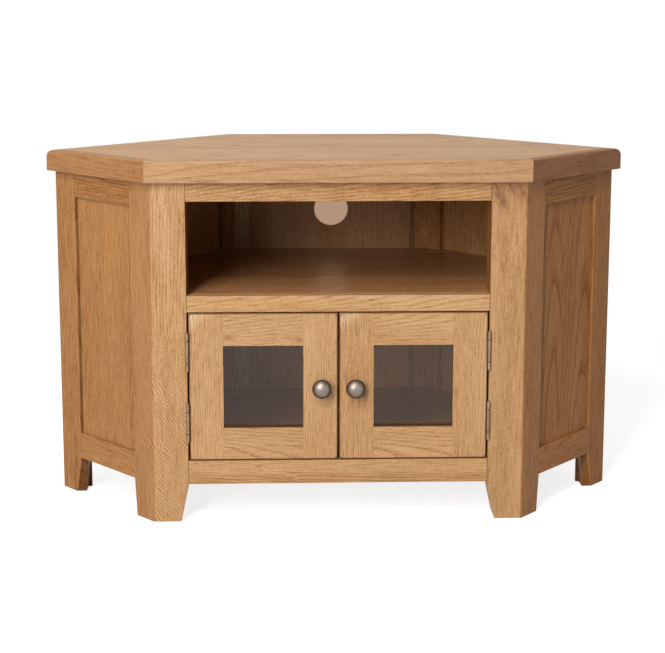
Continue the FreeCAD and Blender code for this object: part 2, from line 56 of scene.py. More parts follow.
# Directions: up, across and back, then along each side of the cabinet and in from it. A wall side
# stands square to its side of the cabinet.
DIAGONAL = math.sqrt(0.5)
UP = (0.0, 0.0, 1.0)
ACROSS = (1.0, 0.0, 0.0)
BACKWARDS = (0.0, 1.0, 0.0)
SIDE_WAY = {"right": (DIAGONAL, DIAGONAL, 0.0), "left": (-DIAGONAL, DIAGONAL, 0.0)}
SIDE_IN = {"right": (-DIAGONAL, DIAGONAL, 0.0), "left": (DIAGONAL, DIAGONAL, 0.0)}
WALL_WAY = SIDE_IN

# Places that the stains, the painted light and shade and the card go by, near edges and faces of
# the CAD: across from the middle, back and up, and for the end of a rear foot's taper along the
# side
LEG_CORNER = {"left": -310.0 * MM, "right": 310.0 * MM}
FRONT_FACE = -222.0 * MM
REAR_TAPER_END = 298.0 * MM
POST_EDGE = 187.5 * MM
POST_FRONT = 222.0 * MM
PANEL_EDGE = 160.0 * MM
PANEL_MIDDLE = 229.0 * MM
SHELF_FRONT = -200.0 * MM
HOLE_HEIGHT = 464.75 * MM
HINGE_LENGTH = 63.5 * MM

# Stains, painted light and painted shade: tints that the wood is multiplied by
# Painted shade on the cabinet's sides, where less light falls than on the front, most on the
# right
SIDE_PAINTED_SHADE = {"left": (0.78, 0.66, 0.51), "right": (0.80, 0.62, 0.43)}
# Painted shade on the rear legs' narrow faces in the recess beside the side panels
RETURN_PAINTED_SHADE = {"left": (0.42, 0.34, 0.27), "right": (0.58, 0.53, 0.50)}
# Painted shade on the top's side lips, by how the light falls on each side
LIP_PAINTED_SHADE = {"left": (0.65, 0.52, 0.39), "right": (0.50, 0.33, 0.20)}
# Painted shade on the top's front lip, a little darker than the top's face
FRONT_LIP_PAINTED_SHADE = (0.85, 0.83, 0.88)
# Painted shade on the front legs' faces that look into the bay and the cupboard
JAMB_PAINTED_SHADE = (0.50, 0.37, 0.24)
# A purplish mineral streak, which also stands in as painted shade under the top
MINERAL_STREAK_AND_SHADE = (0.50, 0.36, 0.38)
# Painted shade on the boards inside the bay and the cupboard
INSIDE_PAINTED_SHADE = (0.80, 0.72, 0.62)
# Painted light on the back post's face along the back, painted shade on its face along the wall
POST_LIGHT_AND_SHADE = {"back": (1.28, 1.90, 3.10), "wall": (0.76, 1.0, 1.3)}
# Painted shade on the back panel, deep in the bay
BACK_PAINTED_SHADE = (0.70, 0.65, 0.62)
# Painted shadow in the right back corner of the bay
CORNER_PAINTED_SHADOW = (0.52, 0.56, 0.58)
# Painted shade on the shelf inside the bay
SHELF_PAINTED_SHADE = (0.68, 0.60, 0.53)
# Painted light on the shelf's front strip
SHELF_FRONT_PAINTED_LIGHT = (1.67, 1.62, 1.85)
# Painted shade on the cupboard's floor board
FLOOR_PAINTED_SHADE = (0.50, 0.46, 0.42)
LOW_STREAK_STAIN = (0.80, 0.70, 0.58)
# Painted shade in the gaps round the doors and under the panes
EDGE_PAINTED_SHADE = (0.45, 0.36, 0.28)
# Painted shade on the glazing beads behind the glass
BEAD_PAINTED_SHADE = (0.17, 0.14, 0.12)
# Painted highlight: the glare at the doors' upper corners
GLARE_PAINTED_HIGHLIGHT = (1.25, 1.6, 2.2)

# The wood's noises, in periods per metre along the grain, across the board and through it
FLOW = (2.4, 9.0, 9.0)
CLOUD = (3.0, 22.0, 22.0)
TINGE = (5.0, 15.0, 15.0)
SWIRL = (15.0, 17.0, 17.0)
FIBRE = (26.0, 300.0, 300.0)
DASHES = (120.0, 850.0, 850.0)
PORES = (260.0, 3200.0, 3200.0)
FLECKS = (420.0, 120.0, 420.0)

# Levels of the four oak colours, and the tint that some of the wood takes
PALETTE_STOPS = (0.0, 0.22, 0.56, 0.95)
WARM_TINGE = (1.0, 0.92, 0.82)

# The right leg's streaks sit just under the top: partly real streaks, partly painted shade there
# The mineral streaks on the right leg, as x and z, and how high the bottom rail's streaks reach
STREAK_AND_SHADE_SPOTS = ((0.262, 0.560), (0.268, 0.541), (0.284, 0.562), (0.301, 0.560))
LOW_STREAKS_TOP = 84.0 * MM

# Each lamp: its place, what it points at, its width and height, and its watts
LAMPS = {
    "key": ((-1.75, -3.7, 1.95), (0.0, 0.0, 0.3), (1.5, 2.3), 126.0),
    "second": ((-0.8, -2.6, 3.0), (0.0, 0.0, 0.3), (0.5, 0.5), 45.0),
    "above": ((-0.4, 0.9, 2.8), (0.0, 0.1, 0.6), (2.4, 1.6), 14.5),
    "behind": ((0.0, 3.0, 0.38), (0.0, 0.0, 0.36), (2.6, 0.44), 36.0),
}

# The camera: its place, its turn in radians, and how far its picture is shifted in widths of it
CAMERA_PLACE = (-0.075611, -2.420101, 0.855901)
CAMERA_YAW, CAMERA_PITCH, CAMERA_ROLL = 0.02972, -0.14509, 0.00069
CAMERA_SHIFT = -120 / 665
CAMERA_SENSOR = 36.0
CAMERA_CLIP = (0.05, 60.0)

# The paper floor, the world's grey and the tan card behind the cable hole
FLOOR_REACH = 8.0
FLOOR_DROP = 0.4 * MM
PAPER_GREY = (0.75, 0.75, 0.75, 1.0)
PAPER_SEEN = (2.3, 2.3, 2.3, 1.0)
WORLD_GREY = (0.12, 0.12, 0.12, 1.0)
CARD_RADIUS = 38.0 * MM
CARD_GAP = 4.0 * MM


def srgb(text):
    """A colour written as six hex digits, as the linear light that a shader takes."""
    parts = np.array([int(text[i : i + 2], 16) for i in (0, 2, 4)]) / 255
    linear = np.where(parts <= 0.04045, parts / 12.92, ((parts + 0.055) / 1.055) ** 2.4)
    return (*linear, 1.0)


# ---- Settings -------------------------------------------------------------------------------


def length_setting(name, about, default):
    return bpy.props.FloatProperty(
        name=name, description=about, default=default, min=0.0, unit="LENGTH", precision=4
    )


def colour_setting(name, about, default):
    return bpy.props.FloatVectorProperty(
        name=name, description=about, default=srgb(default), size=4, subtype="COLOR", min=0.0
    )


def share_setting(name, about, default):
    return bpy.props.FloatProperty(
        name=name, description=about, default=default, min=0.0, max=1.0, subtype="FACTOR"
    )


class TopBoardSizes(bpy.types.PropertyGroup):
    edge_round: length_setting("Edge round", "Radius along the front and side edges", 0.005)
    wall_round_width: length_setting("Wall round width", "How far the wall round runs in", 0.022)
    wall_round_height: length_setting("Wall round height", "How far it runs down", 0.014)
    lipping: length_setting("Lipping", "Width of the solid edge strips", 0.02)


class KnobSizes(bpy.types.PropertyGroup):
    radius: length_setting("Radius", "Radius of the knob's rim", 0.016)
    projection: length_setting("Projection", "How far it stands out from the door", 0.026)
    neck_radius: length_setting("Neck radius", "Radius of the neck", 0.005)
    base_radius: length_setting("Base radius", "Radius of the foot", 0.0075)
    base_thickness: length_setting("Base thickness", "Thickness of the foot", 0.003)
    rim_thickness: length_setting("Rim thickness", "Height of the upright rim", 0.0025)
    dome_height: length_setting("Dome height", "Height of the domed front", 0.008)


class OakFinish(bpy.types.PropertyGroup):
    light: colour_setting("Light wood", "Late wood in the palest boards", "DDB283")
    middle: colour_setting("Middle wood", "The finish seen from a step away", "C39869")
    dark: colour_setting("Dark wood", "Early wood and the darkest boards", "93602F")
    pore: colour_setting("Pores", "Open pores and knots", "65391A")
    roughness: share_setting("Roughness", "Roughness of the satin lacquer", 0.46)


class StageLook(bpy.types.PropertyGroup):
    focal_length: bpy.props.FloatProperty(
        name="Focal length", description="Lens of the camera", default=73.7445, unit="CAMERA"
    )
    lamp_strength: bpy.props.FloatProperty(
        name="Lamps", description="Strength of all the lamps", default=1.0
    )


SETTINGS = {
    "cabinet_top": TopBoardSizes,
    "cabinet_knobs": KnobSizes,
    "cabinet_oak": OakFinish,
    "cabinet_stage": StageLook,
}


# ---- Shader maths ---------------------------------------------------------------------------


class Value:
    """A number that varies over a surface: a node's socket, with Python's arithmetic."""

    def __init__(self, paint, socket):
        self.paint = paint
        self.socket = socket

    def math(self, operation, *others):
        sources = dict(enumerate((self, *others)))
        return self.paint.node("ShaderNodeMath", {"operation": operation}, sources)

    def __add__(self, other):
        return self.math("ADD", other)

    __radd__ = __add__

    def __mul__(self, other):
        return self.math("MULTIPLY", other)

    __rmul__ = __mul__

    def __sub__(self, other):
        return self.math("SUBTRACT", other)

    def __rsub__(self, other):
        return self.math("MULTIPLY", -1.0).math("ADD", other)

    def __truediv__(self, other):
        return self.math("DIVIDE", other)

    def fract(self):
        return self.math("FRACT")

    def floor(self):
        return self.math("FLOOR")

    def rise(self, low, high, bottom=0.0, top=1.0):
        """A smooth step from bottom to top while the number goes from low to high."""
        return self.paint.node(
            "ShaderNodeMapRange",
            {"interpolation_type": "SMOOTHSTEP", "clamp": True},
            {0: self, 1: low, 2: high, 3: bottom, 4: top},
        )

    def fall(self, low, high):
        """A smooth step down from 1 to 0."""
        return self.rise(low, high, 1.0, 0.0)


class Paint:
    """The nodes of one material, or of the world."""

    def __init__(self, owner):
        owner.use_nodes = True
        self.owner = owner
        self.tree = owner.node_tree
        self.tree.nodes.clear()

    @classmethod
    def named(cls, name):
        return cls(bpy.data.materials.new(name))

    def node(self, kind, settings=None, sources=None, output=0):
        """Adds a node: its settings first, then the numbers or links of its sockets."""
        made = self.tree.nodes.new(kind)
        for name, value in (settings or {}).items():
            if name == "stops":
                ramp = made.color_ramp
                while len(ramp.elements) < len(value):
                    ramp.elements.new(0.5)
                for element, (place, colour) in zip(ramp.elements, value):
                    element.position = place
                    element.color = colour
            else:
                setattr(made, name, value)
        for name, value in (sources or {}).items():
            socket = made.inputs[name]
            if isinstance(value, Value):
                self.tree.links.new(value.socket, socket)
            else:
                socket.default_value = value
        if made.outputs:
            return Value(self, made.outputs[output])

    def place(self):
        return self.node("ShaderNodeTexCoord", output="Object")

    def parts(self, vector):
        made = self.node("ShaderNodeSeparateXYZ", None, {0: vector})
        return [Value(self, socket) for socket in made.socket.node.outputs]

    def vector(self, x, y, z):
        return self.node("ShaderNodeCombineXYZ", None, {0: x, 1: y, 2: z})

    def stretch(self, vector, factors):
        return self.node(
            "ShaderNodeVectorMath", {"operation": "MULTIPLY"}, {0: vector, 1: factors}
        )

    def shift(self, vector, other):
        return self.node("ShaderNodeVectorMath", {"operation": "ADD"}, {0: vector, 1: other})

    def noise(self, vector, detail=2.0, roughness=0.5, output=0):
        """Smooth noise with a period of about one unit of its own coordinates."""
        return self.node(
            "ShaderNodeTexNoise",
            {"noise_dimensions": "3D"},
            {"Vector": vector, "Scale": 1.0, "Detail": detail, "Roughness": roughness},
            output,
        )

    def mix(self, share, first, second):
        """Colour between two others: 0 gives the first and 1 the second."""
        return self.node(
            "ShaderNodeMix", {"data_type": "RGBA"}, {0: share, 6: first, 7: second}, 2
        )

    def tint(self, share, colour, by):
        """A colour multiplied by another one, as far as the share says."""
        return self.node(
            "ShaderNodeMix", {"data_type": "RGBA", "blend_type": "MULTIPLY"},
            {0: share, 6: colour, 7: (*by, 1.0)}, 2,
        )

    def blend(self, share, first, second):
        """Vector between two others: 0 gives the first and 1 the second."""
        return self.node(
            "ShaderNodeMix", {"data_type": "VECTOR"}, {0: share, 4: first, 5: second}, 1
        )

    def bump(self, height, strength, distance, **more):
        """A normal that leans with the height, which the distance is the size of."""
        sources = {"Strength": strength, "Distance": distance, "Height": height, **more}
        return self.node("ShaderNodeBump", None, sources)

    def shader(self, **sources):
        """The main shader. The names are its sockets, with _ for a space."""
        renamed = {name.replace("_", " "): value for name, value in sources.items()}
        return self.node("ShaderNodeBsdfPrincipled", None, renamed)

    def finish(self, surface):
        self.node("ShaderNodeOutputMaterial", None, {"Surface": surface})
        return self.owner


# ---- Oak ------------------------------------------------------------------------------------


def board_frame(paint, place, middle, along, across):
    """Turns object coordinates into a board's own: along the grain, across its face and
    through it."""
    along, across = Vector(along), Vector(across)
    turn = Matrix((along, across, along.cross(across)))
    moved = -(turn @ Vector(middle))
    return paint.node(
        "ShaderNodeMapping",
        {"vector_type": "POINT"},
        {"Vector": place, "Location": moved, "Rotation": turn.to_euler()},
    )


def split_staves(paint, u, v, staves, start, rng):
    """Cuts a glued board into staves of the given width. Each comes from a place of its own in
    the wood and has its own shade, which is returned last."""
    number = (v / staves + 0.37 * float(rng.uniform(0.0, 2.7))).floor()
    cells = paint.node(
        "ShaderNodeTexWhiteNoise", {"noise_dimensions": "1D"}, {"W": number + start},
        output="Color",
    )
    first, second, third = paint.parts(cells)
    v = v - (number + 0.5) * staves + (second - 0.5) * 0.09
    return u + first * 1.7, v, (third - 0.5) * 0.10


def add_curl(paint, board, into, rings, slope, wave):
    """Turns the rings across the board in waves, more so the further into the curl."""
    swirl = paint.noise(paint.stretch(board, SWIRL), 2.0, 0.5)
    rings = rings + into * into.rise(0.0, 0.08) * slope
    return rings + (swirl - 0.5) * into.rise(0.0, 0.04) * wave


def add_knots(rings, u, v, knots):
    """Swells the rings round each knot, by exp(-r*r) of the distance in knot sizes. The second
    result is how near a place is to the dark heart of a knot, or None without knots."""
    heart = None
    for knot_u, knot_v, size in knots:
        du, dv = u - knot_u, v - knot_v
        away = (du * du * 0.35 + dv * dv) / (size * size)
        rings = rings + (away * -1.0).math("EXPONENT") * (size * 0.8)
        core = (away * -4.0).math("EXPONENT")
        heart = core if heart is None else heart + core
    return rings, heart


def oak(name, middle, along, across, seed, tone=0.0, pith=(0.0, 0.09), tilt=0.03, wander=0.7,
        gap=0.0034, lines=0.25, staves=0.0, knots=(), curl=None, stains=(), zones=(),
        rough=0.0, shine=0.3, soft=True):
    """Satin oak. Growth rings are shells round a pith line that runs along the grain, so a face
    shows straight lines, arches or contour lines by where the pith lies and how it wanders.
    Ring phase = distance from the pith, plus tilt times the place along the grain, plus noise,
    over the ring gap. Pores are short dashes, thickest in the early part of each ring.

    Each zone is a function that gives a share, and the middle and directions of the other board
    that shows there. A curl is its place along the grain, its way, its slope and its wave. Each
    knot is its place along and across, and its size. Each stain, painted light or painted shade
    is a share, or a function that gives one, and the tint that the wood is multiplied by there."""
    look = bpy.context.scene.cabinet_oak
    paint = Paint.named(name)
    place = paint.place()
    own = board_frame(paint, place, middle, along, across)
    for mask, spot, zone_along, zone_across in zones:
        other = board_frame(paint, place, spot, zone_along, zone_across)
        own = paint.blend(mask(paint, place), own, other)
    rng = np.random.default_rng(seed)
    start = [float(x) for x in rng.uniform(-3.0, 3.0, 3)]
    tone += float(rng.uniform(-0.03, 0.03))
    own = paint.shift(own, (start[0], 0.0, 0.0))
    u, v, w = paint.parts(own)
    shade = tone
    if staves:
        u, v, lift = split_staves(paint, u, v, staves, start[1], rng)
        shade = lift + tone
    board = paint.vector(u, v, w)

    flow = paint.noise(paint.stretch(board, FLOW), 3.0, 0.5, "Color")
    flow_v, flow_w, flow_r = paint.parts(flow)
    sideways = v - pith[0] + (flow_v - 0.5) * (0.030 * wander)
    depth = w + pith[1] + (flow_w - 0.5) * (0.026 * wander)
    reach = (sideways * sideways + depth * depth).math("SQRT")
    rings = reach + u * tilt + (flow_r - 0.5) * (0.010 * wander)
    strength = lines
    if curl:
        spot, way, slope, wave = curl
        into = ((u - (spot + start[0])) * way).math("MAXIMUM", 0.0)
        rings = add_curl(paint, board, into, rings, slope, wave)
        strength = into.rise(0.0, 0.06, lines * 0.35, lines)
    moved = [(knot_u + start[0], knot_v, size) for knot_u, knot_v, size in knots]
    rings, heart = add_knots(rings, u, v, moved)
    early = (rings / gap).fract().fall(0.0, 0.45)

    cloud = paint.noise(paint.stretch(board, CLOUD), 2.0, 0.5)
    fibre = paint.noise(paint.stretch(own, FIBRE), 3.0, 0.6)
    dashes = paint.noise(paint.stretch(own, DASHES), 1.0, 0.6)
    pores = paint.noise(paint.stretch(own, PORES), 0.0, 0.5)
    flecks = paint.noise(paint.stretch(own, FLECKS), 1.0, 0.5)
    dark_dash = dashes.rise(0.50, 0.74)
    open_pores = pores.rise(0.58, 0.70) * (early * 0.6 + 0.4)
    bands = early * cloud.rise(0.3, 0.6, 0.5, 1.0) * dashes.rise(0.35, 0.6, 0.6, 1.0)
    level = (
        (0.5 - fibre) * 0.62 + (cloud - 0.5) * 0.42 + (flecks - 0.5) * 0.15
        - dark_dash * 0.15 - (bands - 0.15) * strength + (shade + 0.53)
    )

    palette = [tuple(colour) for colour in (look.pore, look.dark, look.middle, look.light)]
    wood = paint.node(
        "ShaderNodeValToRGB", {"stops": list(zip(PALETTE_STOPS, palette))}, {0: level}
    )
    tinge = paint.noise(paint.stretch(board, TINGE), 2.0, 0.6)
    wood = paint.tint(tinge.rise(0.35, 0.7, 0.0, 0.5), wood, WARM_TINGE)
    colour = paint.mix(open_pores * 0.45, wood, palette[0])
    if heart is not None:
        colour = paint.mix(heart * 0.6, colour, palette[1])
    for share, tint in stains:
        if callable(share):
            share = share(paint, place)
        colour = paint.tint(share, colour, tint)
    relief = fibre * -0.35 - open_pores * 0.9 - early * 0.12 - dark_dash * 0.3
    bevel = {}
    if soft:
        bevel["Normal"] = paint.node(
            "ShaderNodeBevel", {"samples": 4}, {"Radius": 0.9 * MM}
        )
    return paint.finish(paint.shader(
        Base_Color=colour,
        Roughness=(fibre - 0.5) * 0.10 + open_pores * 0.18 + (look.roughness + rough),
        Normal=paint.bump(relief, 0.35, 0.3 * MM, **bevel),
        Specular_IOR_Level=shine,
    ))


def middle_of(node):
    low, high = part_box(node)
    return tuple((low + high) / 2)


# ---- Other finishes -------------------------------------------------------------------------


def pewter(name):
    """Polished pewter, with a dark patina in patches, and painted shade that darkens it towards
    the rim.
    """
    paint = Paint.named(name)
    place = paint.place()
    x, _, z = paint.parts(place)
    low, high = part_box("door_right_knob")
    middle = (low + high) / 2
    side, rise = x.math("ABSOLUTE") - middle.x, z - middle.z
    out = (side * side + rise * rise).math("SQRT") / bpy.context.scene.cabinet_knobs.radius
    cloud = paint.noise(paint.stretch(place, (160.0, 160.0, 160.0)), 3.0, 0.6)
    grain = paint.noise(paint.stretch(place, (1500.0, 1500.0, 400.0)), 1.0, 0.5)
    # Painted shade: the knob darkens towards its rim, mixed in with the patina
    rim = out.rise(0.42, 0.98)
    patina = (rim * 0.85 + cloud.rise(0.5, 0.8, 0.0, 0.35)).math("MINIMUM", 1.0)
    return paint.finish(paint.shader(
        Base_Color=paint.mix(patina, srgb("978A80"), srgb("3E2D22")),
        Metallic=1.0,
        Roughness=patina * 0.15 + 0.42,
        Normal=paint.bump(grain, 0.2, 0.1 * MM),
    ))


def aged_metal(name):
    """Antique bronze: a brown patina, worn pale where hands and doors rub it, with painted shade
    down the sides of the barrels, and dark at the joints between their knuckles."""
    paint = Paint.named(name)
    place = paint.place()
    x, _, z = paint.parts(place)
    pin_low, pin_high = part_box("hinge_pins_right")
    low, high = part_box("hinge_leaves_right")
    axis, foot = (pin_low.x + pin_high.x) / 2, low.z
    step = (high.z - foot) - HINGE_LENGTH
    cloud = paint.noise(paint.stretch(place, (90.0, 90.0, 40.0)), 3.0, 0.6)
    scratch = paint.noise(paint.stretch(place, (2200.0, 2200.0, 260.0)), 1.0, 0.5)
    worn = (cloud * 0.8 + scratch * 0.2).rise(0.35, 0.7)
    colour = paint.mix(worn, srgb("96775A"), srgb("BC9D7F"))
    # Painted shade down both sides of each barrel
    barrel_side_shade = (x.math("ABSOLUTE") - axis).math("ABSOLUTE").rise(1.2 * MM, 2.8 * MM, 0.0, 0.85)
    height = ((z - foot) / step).fract() * step
    joint = (height - HINGE_LENGTH * 0.2).math("ABSOLUTE")
    joint = joint.math("MINIMUM", (height - HINGE_LENGTH * 0.8).math("ABSOLUTE"))
    dark = barrel_side_shade.math("MAXIMUM", joint.rise(0.5 * MM, 1.3 * MM, 0.8, 0.0))
    colour = paint.mix(dark, colour, srgb("3A2A1E"))
    return paint.finish(paint.shader(
        Base_Color=colour, Metallic=0.35, Roughness=0.5 - worn * 0.08, Specular_IOR_Level=0.3
    ))


def zinc(name):
    """Bright zinc plating with a faint spangle."""
    paint = Paint.named(name)
    cells = paint.node(
        "ShaderNodeTexVoronoi", {"feature": "F1"},
        {"Vector": paint.place(), "Scale": 900.0}, output="Color",
    )
    shade, _, _ = paint.parts(cells)
    colour = paint.mix(shade, srgb("A9A9A6"), srgb("CFCFC9"))
    return paint.finish(paint.shader(
        Base_Color=colour, Metallic=1.0, Roughness=shade * 0.12 + 0.3
    ))


def moulded_plastic(name):
    """Brown moulded plastic with a fine spark-eroded grain."""
    paint = Paint.named(name)
    grain = paint.noise(paint.stretch(paint.place(), (2500.0, 2500.0, 2500.0)), 2.0, 0.6)
    return paint.finish(paint.shader(
        Base_Color=paint.mix(grain, srgb("3B2A1F"), srgb("5A4232")),
        Roughness=0.5,
        Normal=paint.bump(grain, 0.3, 0.1 * MM),
    ))


def pane_glass(name):
    """Clear float glass with a faint film of dust in patches. Lamps shine through it."""
    paint = Paint.named(name)
    film = paint.noise(paint.stretch(paint.place(), (14.0, 14.0, 22.0)), 3.0, 0.6)
    glass = paint.shader(
        Base_Color=srgb("EFEDE8"),
        Roughness=film.rise(0.45, 0.75, 0.0, 0.06),
        Transmission_Weight=1.0,
        IOR=1.5,
        Specular_Tint=(1.0, 0.79, 0.71, 1.0),
    )
    clear = paint.node("ShaderNodeBsdfTransparent", None, {"Color": srgb("EFEDE8")})
    shadow = paint.node("ShaderNodeLightPath", output="Is Shadow Ray")
    return paint.finish(paint.node("ShaderNodeMixShader", None, {0: shadow, 1: glass, 2: clear}))


# ---- Shapes ---------------------------------------------------------------------------------


def new_piece(name, points, faces, body, material, replaced, sharp):
    """Puts points and faces into a mesh piece that rides on a body and replaces some nodes. Its
    edges are sharp from the given angle in degrees."""
    mesh = bpy.data.meshes.new(name)
    mesh.from_pydata(points.tolist(), [], faces)
    mesh.update()
    mesh.shade_smooth()
    mesh.set_sharp_from_angle(angle=math.radians(sharp))
    piece = bpy.data.objects.new(name, mesh)
    bpy.context.scene.collection.objects.link(piece)
    piece.data.materials.append(material)
    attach(piece, body)
    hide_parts(*replaced)


def tube_faces(rows, columns):
    """Quads between neighbouring rows of a grid whose columns close round, then both ends."""
    row, column = np.meshgrid(np.arange(rows - 1), np.arange(columns), indexing="ij")
    after = (column + 1) % columns
    quads = np.stack(
        [
            row * columns + column,
            row * columns + after,
            (row + 1) * columns + after,
            (row + 1) * columns + column,
        ],
        axis=-1,
    )
    first, last = list(range(columns)), (rows - 1) * columns
    return [*quads.reshape(-1, 4).tolist(), first[::-1], [last + i for i in first]]


def turned(profile, origin, axis, segments):
    """A turned solid: radius and height along the profile, carried once round its axis.
    Point = origin + height * axis + radius * (cos a * side + sin a * other side)."""
    axis = np.array(axis, float)
    side = np.cross(axis, [0.0, 0.0, 1.0] if abs(axis[2]) < 0.9 else [1.0, 0.0, 0.0])
    side /= np.linalg.norm(side)
    other = np.cross(axis, side)
    angle = np.arange(segments) * 2 * math.pi / segments
    ring = np.cos(angle)[:, None] * side + np.sin(angle)[:, None] * other
    radius, height = np.array(profile, float).T
    points = (
        np.array(origin, float)
        + height[:, None, None] * axis
        + radius[:, None, None] * ring[None]
    ).reshape(-1, 3)
    return points, tube_faces(len(profile), segments)


# ---- The top board --------------------------------------------------------------------------


def top_outline():
    """Outward normals and distances of the top's six sides, from the front round to the left."""
    low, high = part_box("top_panel")
    co = np.array([v.co for v in NODES["top_panel"].data.vertices])
    normals = np.array(
        [(0, -1), (DIAGONAL, -DIAGONAL), (DIAGONAL, DIAGONAL), (0, 1),
         (-DIAGONAL, DIAGONAL), (-DIAGONAL, -DIAGONAL)]
    )
    distances = (co[:, :2] @ normals.T).max(axis=0)
    return normals, distances, low[2], high[2]


def make_top(sizes):
    """Rings of six corners. At each level z every side moves in by its own round:
    width * (1 - sqrt(1 - t*t)) with t from 0 to 1 over the round's height, and a corner is
    where two neighbouring sides then meet."""
    normals, distances, bottom, top = top_outline()
    edge, width, height = sizes.edge_round, sizes.wall_round_width, sizes.wall_round_height
    wide = np.array([edge, edge, width, width, width, edge])
    tall = np.array([edge, edge, height, height, height, edge])
    turn = np.linspace(0.0, math.pi / 2, 13)
    levels = [bottom]
    for drop in sorted(set(tall)):
        levels += list(top - drop * (1 - np.sin(turn)))
    levels = np.unique(np.round(levels, 6))
    share = np.clip((levels[:, None] - (top - tall)) / tall, 0, 1)
    inset = wide * (1 - np.sqrt(np.clip(1 - share**2, 0, 1)))
    reach = distances - inset
    after = np.roll(np.arange(6), -1)
    n, m = normals, normals[after]
    across = n[:, 0] * m[:, 1] - n[:, 1] * m[:, 0]
    x = (reach * m[:, 1] - reach[:, after] * n[:, 1]) / across
    y = (reach[:, after] * n[:, 0] - reach * m[:, 0]) / across
    z = np.repeat(levels[:, None], 6, axis=1)
    return np.stack([x, y, z], axis=-1).reshape(-1, 3), tube_faces(len(levels), 6)


class CABINET_OT_top(bpy.types.Operator):
    """Makes the six-sided top with its rounded edges and solid lippings"""

    bl_idname = "cabinet.make_top"
    bl_label = "Top board"

    def execute(self, context):
        sizes = context.scene.cabinet_top
        points, faces = make_top(sizes)
        normals, distances, _, top = top_outline()
        front, right, left = 0, 1, 5

        def inset(paint, place, side):
            x, y = normals[side]
            sx, sy, _ = paint.parts(place)
            return (sx * -float(x) - sy * float(y)) + float(distances[side])

        def lip(side):
            """Where a side's solid strip shows, mitred against its neighbours."""

            def share(paint, place):
                own = inset(paint, place, side)
                inside = own.math("LESS_THAN", sizes.lipping)
                for other in (front, right, left):
                    if other != side:
                        inside = inside * own.math("LESS_THAN", inset(paint, place, other))
                return inside

            return share

        side_out, side_z = 0.41, top - 30.0 * MM
        front_spot = (0.0, -float(distances[front]), top - 18.0 * MM)
        # The whole top board is painted a little lighter, for the light on its upper face
        wood = oak(
            "oak_top", (0.0, 0.05, top), ACROSS, BACKWARDS, 11, tone=0.08, pith=(0.02, 0.12),
            tilt=0.02, staves=0.093, wander=0.6, gap=0.0045, lines=0.2, rough=0.06, shine=0.38,
            zones=[
                (lip(front), front_spot, ACROSS, UP),
                (lip(right), (side_out, 0.0, side_z), SIDE_WAY["right"], UP),
                (lip(left), (-side_out, 0.0, side_z), SIDE_WAY["left"], UP),
            ],
            # The lips take painted shade
            stains=[
                (lip(front), FRONT_LIP_PAINTED_SHADE),
                (lip(right), LIP_PAINTED_SHADE["right"]),
                (lip(left), LIP_PAINTED_SHADE["left"]),
            ],
        )
        new_piece("top_board", points, faces, "cabinet", wood, ["top_panel"], 20.0)
        return {"FINISHED"}


# ---- Knobs ----------------------------------------------------------------------------------


def knob_profile(s):
    """Foot, neck, flared back, rim and dome, as radius and height. The flare is a quarter
    ellipse from the neck to the rim; the dome is an arc of a circle through rim and tip. The
    edges are eased, and the dome ends in a tiny flat tip."""
    flare, ease, tip = 6.5 * MM, 0.4 * MM, 0.2 * MM
    rim_front = s.projection - s.dome_height
    rim_back = rim_front - s.rim_thickness
    turn = np.linspace(0, math.pi / 2, 12)
    flare_r = s.radius - (s.radius - s.neck_radius) * np.cos(turn)
    flare_z = rim_back - flare + flare * np.sin(turn)
    ball = (s.radius**2 + s.dome_height**2) / (2 * s.dome_height)
    half = math.asin(s.radius / ball)
    arc = np.linspace(half, 0.0, 22)
    dome_r = ball * np.sin(arc)
    dome_z = s.projection - ball * (1 - np.cos(arc))
    foot = [
        (s.base_radius, 0.0),
        (s.base_radius, s.base_thickness - ease),
        (s.base_radius - ease, s.base_thickness),
        (s.neck_radius + ease, s.base_thickness),
        (s.neck_radius, s.base_thickness + ease),
    ]
    rim = [(s.radius - ease, rim_back), (s.radius, rim_back + ease), (s.radius, rim_front - ease)]
    body = list(zip(flare_r[:-1], flare_z[:-1]))
    front = list(zip(dome_r[1:-1], dome_z[1:-1]))
    return foot + body + rim + front + [(tip, s.projection)]


class CABINET_OT_knobs(bpy.types.Operator):
    """Turns the two pewter door knobs"""

    bl_idname = "cabinet.make_knobs"
    bl_label = "Knobs"

    def execute(self, context):
        sizes = context.scene.cabinet_knobs
        metal = pewter("pewter")
        for side in ("left", "right"):
            low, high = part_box(f"door_{side}_knob")
            origin = ((low.x + high.x) / 2, high.y, (low.z + high.z) / 2)
            points, faces = turned(knob_profile(sizes), origin, (0, -1, 0), 64)
            new_piece(
                f"knob_{side}", points, faces, f"door_{side}", metal,
                [f"door_{side}_knob"], 30.0,
            )
        return {"FINISHED"}


# ---- Fittings and finishes of the carried pieces ---------------------------------------------


def give(node, material):
    """Gives a carried piece its finish in every slot."""
    materials = NODES[node].data.materials
    if not materials:
        materials.append(material)
    for number in range(len(materials)):
        materials[number] = material


def leg_side(side):
    """Where a leg shows its side face, which takes the same painted shade as the cabinet's sides.
    """
    in_x, in_y, _ = SIDE_IN[side]

    def share(paint, place):
        x, y, _ = paint.parts(place)
        depth = (x - LEG_CORNER[side]) * in_x + (y - FRONT_FACE) * in_y
        return depth.fall(0.8 * MM, 2.2 * MM)

    return share


def leg_jamb(side):
    """The face of a front leg that looks into the bay and the cupboard, darkened with painted
    shade.
    It lies in line with the middle of the hinge pins."""
    low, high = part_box(f"hinge_pins_{side}")
    opening = abs(low[0] + high[0]) / 2

    def share(paint, place):
        x, _, _ = paint.parts(place)
        return (x.math("ABSOLUTE") - opening).fall(0.4 * MM, 1.0 * MM)

    return share


